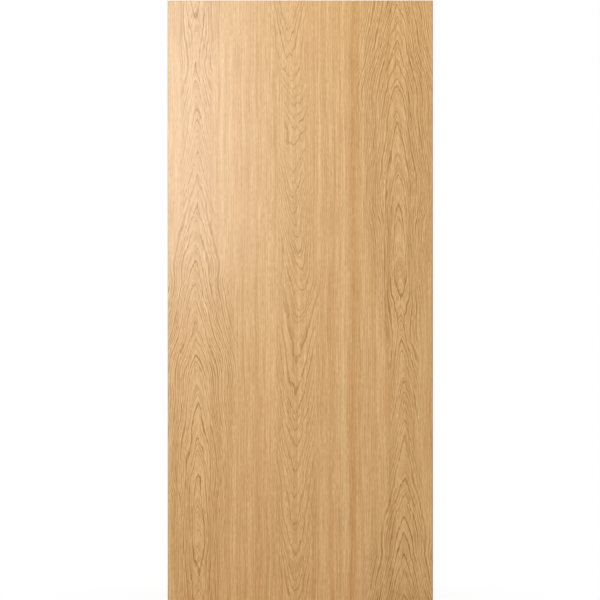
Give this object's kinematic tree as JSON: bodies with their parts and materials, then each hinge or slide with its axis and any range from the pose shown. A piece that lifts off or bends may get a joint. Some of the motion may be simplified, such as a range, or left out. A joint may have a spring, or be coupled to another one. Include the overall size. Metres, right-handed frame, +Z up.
{
  "type": "flush hollow core door leaf",
  "caption": "Flat door leaf with oak-figured faces and banded long edges, framed in softwood round a paper honeycomb core; it hangs by its hinge edge to close an opening.",
  "frame": {"origin": "foot of the hinge edge, in the middle of the leaf's thickness", "axes": "+X from the hinge edge to the lock edge, +Y from the front face to the back face, +Z up"},
  "size_m": [0.9, 0.035, 2.04],
  "materials": {
    "oak_print": "satin",
    "oak_band": "satin",
    "hardboard": "matte",
    "frame_timber": "matte",
    "block_board": "matte",
    "core_paper": "matte"
  },
  "bodies": {
    "root": {"front_face_sheet": "oak_print", "back_face_sheet": "oak_print", "front_skin": "hardboard", "back_skin": "hardboard", "hinge_stile": "frame_timber", "lock_stile": "frame_timber", "top_rail": "frame_timber", "bottom_rail": "frame_timber", "hinge_side_lock_block": "block_board", "lock_side_lock_block": "block_board", "hinge_edge_band": "oak_band", "lock_edge_band": "oak_band", "lower_core_odd_ribbons": "core_paper", "lower_core_even_ribbons": "core_paper", "middle_core_odd_ribbons": "core_paper", "middle_core_even_ribbons": "core_paper", "upper_core_odd_ribbons": "core_paper", "upper_core_even_ribbons": "core_paper"}
  },
  "joints": []
}
